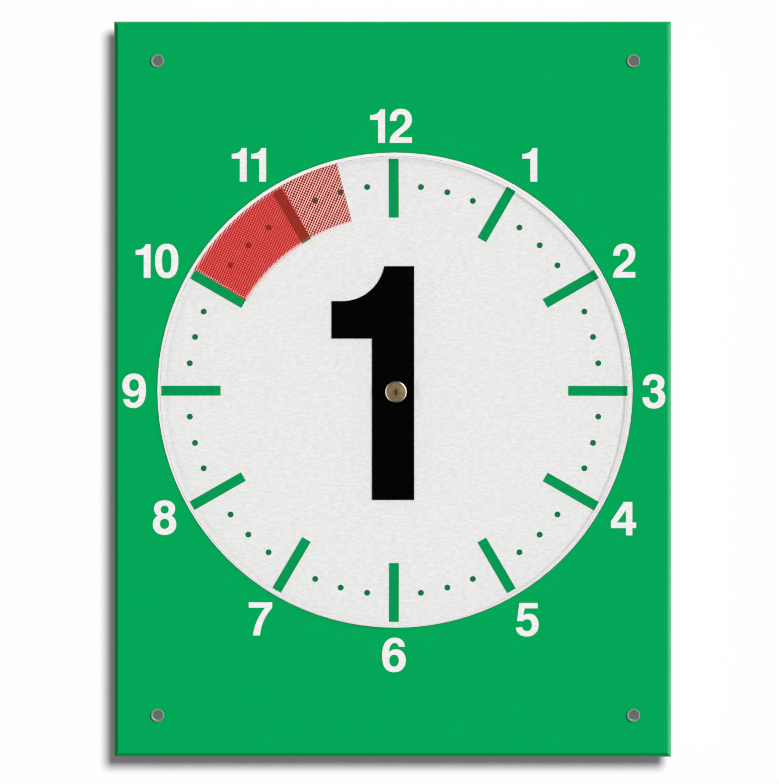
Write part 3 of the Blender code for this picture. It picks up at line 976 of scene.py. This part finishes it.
def backdrop():
    floor_height = cad_low.z - FLOOR_DROP
    half = WALL_WIDTH / 2
    across = Vector((WALL_WIDTH, 0.0, 0.0))
    up = Vector((0.0, 0.0, WALL_HEIGHT))
    depth = Vector((0.0, WALL_WIDTH, 0.0))
    wall_corner = Vector((-half, WALL_GAP, floor_height))
    floor_corner = Vector((-half, -half, floor_height))
    return (
        stage_plane("wall", wall_corner, across, up, stage_material("wall_white", WALL_GLOW)),
        stage_plane("floor", floor_corner, across, depth, stage_material("floor_pale", FLOOR_GLOW)),
    )


# The world: the even light on the object, and how bright it is for gloss in front, to each side and behind.
# The spans say where, along a direction's X or Y, a side or the rear starts and is full.
AMBIENT = 0.12
FRONT_GLOSS = 0.01
RIGHT_GLOSS = 0.65
LEFT_GLOSS = 0.05
BEHIND_GLOSS = 1.0
SIDE_SPAN = (0.2, 0.9)
BEHIND_SPAN = (0.0, 0.3)


def world():
    """White to the camera, a low even light, and gloss that is bright from the right and from behind."""
    made = bpy.data.worlds.new("studio")
    bpy.context.scene.world = made
    made.use_nodes = True
    tree = made.node_tree
    background = tree.nodes["Background"]
    background.inputs["Color"].default_value = WHITE

    def step(operation, first, second):
        node = tree.nodes.new("ShaderNodeMath")
        node.operation = operation
        for socket, value in zip(node.inputs, (first, second)):
            if isinstance(value, bpy.types.NodeSocket):
                tree.links.new(value, socket)
            else:
                socket.default_value = value
        return node.outputs[0]

    def rise(value, ends, top):
        node = tree.nodes.new("ShaderNodeMapRange")
        node.interpolation_type = "SMOOTHSTEP"
        tree.links.new(value, node.inputs[0])
        for index, number in enumerate((*ends, FRONT_GLOSS, top), start=1):
            node.inputs[index].default_value = number
        return node.outputs[0]

    path = tree.nodes.new("ShaderNodeLightPath")
    direction = tree.nodes.new("ShaderNodeTexCoord")
    parts = tree.nodes.new("ShaderNodeSeparateXYZ")
    tree.links.new(direction.outputs["Generated"], parts.inputs[0])
    right = rise(parts.outputs["X"], SIDE_SPAN, RIGHT_GLOSS)
    left = rise(step("MULTIPLY", parts.outputs["X"], -1.0), SIDE_SPAN, LEFT_GLOSS)
    behind = rise(parts.outputs["Y"], BEHIND_SPAN, BEHIND_GLOSS)
    round_about = step("MAXIMUM", step("MAXIMUM", right, left), behind)
    seen = step("MAXIMUM", path.outputs["Is Camera Ray"], path.outputs["Is Transmission Ray"])
    shown = step("MULTIPLY", seen, 1.0 - AMBIENT)
    mirrored = step("MULTIPLY", path.outputs["Is Glossy Ray"], step("SUBTRACT", round_about, AMBIENT))
    total = step("ADD", step("ADD", shown, mirrored), AMBIENT)
    tree.links.new(total, background.inputs["Strength"])


def lamp(name, right, up, share, angle, towards_wall=True):
    """A distant lamp, by its slant to the right and up, the share of full light it gives the board, and its
    width in degrees."""
    light = bpy.data.lights.new(name, "SUN")
    made = bpy.data.objects.new(name, light)
    bpy.context.scene.collection.objects.link(made)
    slant = math.hypot(right, up)
    light.energy = share * math.pi * math.hypot(1.0, slant)
    light.angle = math.radians(angle)
    depth = 1.0 if towards_wall else -1.0
    made.rotation_mode = "QUATERNION"
    aim = Vector((-right, depth, -up))
    made.rotation_quaternion = aim.to_track_quat("-Z", "Y")
    return made


def link_light(made, pieces, state):
    """Let the lamp light only these pieces, or all but them."""
    group = bpy.data.collections.new(f"{made.name}_pieces")
    for piece in pieces:
        group.objects.link(piece)
    for item in group.collection_objects:
        item.light_linking.link_state = state
    made.light_linking.receiver_collection = group


def lights(stage_pieces):
    """Lamps on the object alone, two more on the rivet alone for its bright rim, and one on the stage alone,
    which casts the board's soft shadow on the wall."""
    side_lamps = [
        lamp("side_lamp_right", 1.5, 0.2, 0.28, 4),
        lamp("side_lamp_left", -1.37, -0.1, 0.15, 16),
    ]
    for made in side_lamps:
        made.visible_glossy = False
    key_lamp = lamp("key_lamp", 0.93, 0.67, 0.455, 34)
    rear_lamp = lamp("rear_lamp", 0.5, 0.6, 0.75, 45, towards_wall=False)
    rear_lamp.data.cycles.max_bounces = 0
    for made in (*side_lamps, key_lamp, rear_lamp):
        link_light(made, stage_pieces, "EXCLUDE")
    rivet_lamps = [
        lamp("rivet_lamp_left", -1.7, -0.2, 0.3, 80),
        lamp("rivet_lamp_right", 1.9, -0.15, 0.15, 60),
    ]
    for made in rivet_lamps:
        link_light(made, [bpy.data.objects["brass_rivet"]], "INCLUDE")
    backdrop_lamp = lamp("backdrop_lamp", 0.315, 0.405, 0.97, 22)
    link_light(backdrop_lamp, stage_pieces, "INCLUDE")


def camera():
    """Square on to the board, from so far that nothing narrows, with the photograph's frame round it."""
    made = bpy.data.objects.new("camera", bpy.data.cameras.new("camera"))
    bpy.context.scene.collection.objects.link(made)
    made.data.lens = LENS
    made.data.sensor_width = SENSOR
    made.data.clip_start = 0.1
    made.data.clip_end = 100.0
    across = (IMAGE_WIDTH / 2 - HOLES_CENTRE_PIXEL[0]) * PIXEL
    up = (HOLES_CENTRE_PIXEL[1] - IMAGE_HEIGHT / 2) * PIXEL + HOLES_CENTRE_HEIGHT
    distance = IMAGE_HEIGHT * PIXEL * LENS / SENSOR
    made.location = (across, -BOARD_FACE - distance, up)
    made.rotation_euler = UPRIGHT
    bpy.context.scene.camera = made


camera()
world()
bpy.context.scene.view_settings.view_transform = "Standard"
bpy.context.scene.cycles.filter_width = PIXEL_FILTER

green = board_green()
paper = printed_paper("dial_paper", (0.95, 0.95, 0.94, 1.0))
number_white = printed_paper("number_paint", (0.93, 0.935, 0.93, 1.0))
bar_ink = print_green("bar_green", colour(0, 158, 87))
dot_ink = print_green("dot_green", colour(14, 121, 73))
vinyl = number_black()
steel = dull_metal("plated_steel", (0.62, 0.62, 0.60, 1.0), 0.32, 1.2 * MM)
eyelet_metal = dull_metal("eyelet_metal", (0.36, 0.41, 0.38, 1.0), 0.7, 1.0 * MM, metallic=0.45)
white_nylon = nylon()

finishes = {
    "base_board": green,
    "dial_sheet": paper,
    "time_disc": disc_clear(),
    "front_washer": white_nylon,
    "disc_spacer": white_nylon,
    "rear_washer": steel,
    "spring_washer": steel,
}
for corner in ("top_left", "top_right", "bottom_left", "bottom_right"):
    finishes[f"eyelet_washer_{corner}"] = eyelet_metal
    eyelet(corner, eyelet_metal)
finish_nodes(finishes)

hour_bars(bar_ink)
quarter_dots(dot_ink)
hour_numbers(number_white)
court_number(vinyl)
dense_red = film(
    "mark_dense_red",
    screen=(1.278 * MM, -23.3, 0.6, 0.914, 0.25),
    cover=(-0.75, 1.2),
    gap=(0.2, (1.0, 0.04, 0.05, 1.0), (0.98, 0.2, 0.17, 1.0)),
    dot=(0.8, (0.45, 0.012, 0.014, 1.0), (0.32, 0.02, 0.02, 1.0)),
    shadow_reach=2.2 * MM,
    rim=(1.9 * MM, MARK_START),
)
light_red = film(
    "mark_light_red",
    screen=(1.333 * MM, -23.1, 0.68, 0.796, 0.4),
    cover=(-0.61, 0.7),
    gap=(0.04, (1.0, 0.55, 0.5, 1.0), (1.0, 0.8, 0.76, 1.0)),
    dot=(0.22, (0.7, 0.01, 0.01, 1.0), (0.34, 0.006, 0.005, 1.0)),
    shadow_reach=1.1 * MM,
)
time_film("red_hour_film", "hour_film", MARK_START, MARK_SEAM, dense_red)
time_film("red_half_hour_film", "half_hour_film", MARK_SEAM, MARK_END, light_red)
pivot_rivet(brass())
lights(backdrop())
